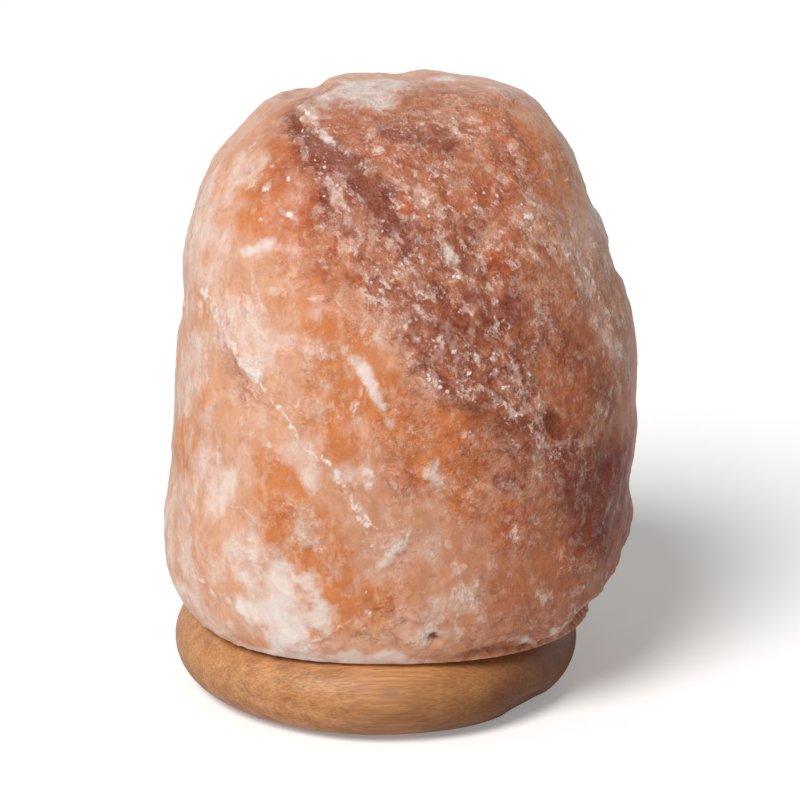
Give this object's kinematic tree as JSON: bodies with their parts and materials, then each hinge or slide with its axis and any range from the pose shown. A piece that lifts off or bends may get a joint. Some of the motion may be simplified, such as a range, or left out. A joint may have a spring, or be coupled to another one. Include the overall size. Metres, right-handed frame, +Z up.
{
  "type": "salt crystal lamp",
  "caption": "Table lamp: a rounded rock of pink salt screwed to a turned wooden base, drilled out for a small screw-in bulb on a clip-in lampholder.",
  "frame": {"origin": "on the table, on the axis of the round wooden base", "axes": "+Z up along the base's axis, -Y to the front that the picture shows, +Y to the cord groove"},
  "size_m": [0.1385, 0.123, 0.1808],
  "materials": {
    "salt": "satin",
    "wood": "satin",
    "felt": "matte",
    "nylon": "matte",
    "screw_steel": "satin",
    "plated_steel": "satin",
    "spring_steel": "satin",
    "bush_plastic": "matte",
    "holder_plastic": "gloss",
    "porcelain": "gloss",
    "brass": "polished",
    "nickel": "polished",
    "clear_glass": "gloss",
    "black_glass": "gloss",
    "solder": "satin",
    "tungsten": "satin"
  },
  "bodies": {
    "base": {"wood_base": "wood", "felt_ring": "felt", "salt_crystal": "salt", "wall_plugs": "nylon", "crystal_screws": "screw_steel"},
    "lamp_holder": {"mounting_disc": "plated_steel", "spring_wing_1": "spring_steel", "spring_wing_2": "spring_steel", "spring_wing_3": "spring_steel", "wing_rivets": "plated_steel", "nipple": "brass", "nipple_nut": "plated_steel", "inlet_bush": "bush_plastic", "holder_cup": "holder_plastic", "holder_sleeve": "holder_plastic", "holder_insert": "porcelain", "terminal_screws": "brass", "side_contact": "brass", "centre_contact": "brass", "screw_shell": "brass"},
    "bulb_envelope": {"bulb_glass": "clear_glass"},
    "bulb_cap": {"bulb_cap": "nickel", "cap_insulator": "black_glass", "cap_contact": "solder", "glass_stem": "clear_glass", "lead_wires": "tungsten", "filament": "tungsten", "filament_support": "clear_glass"}
  },
  "joints": [
    {"name": "holder_pull", "type": "slide", "parent": "base", "child": "lamp_holder", "axis": [0, 0, -1], "range_m": [0, 0.1]},
    {"name": "bulb_back_out", "type": "slide", "parent": "lamp_holder", "child": "bulb_envelope", "axis": [0, 0, 1], "range_m": [0, 0.0157]},
    {"name": "bulb_turn", "type": "hinge", "parent": "bulb_envelope", "child": "bulb_cap", "pos_m": [0, 0, 0.05], "axis": [0, 0, 1], "range_deg": [0, 1980]}
  ],
  "couplings": [
    {"joint": "bulb_back_out", "follows": "bulb_turn", "m_per_rad": 0.00044913}
  ]
}
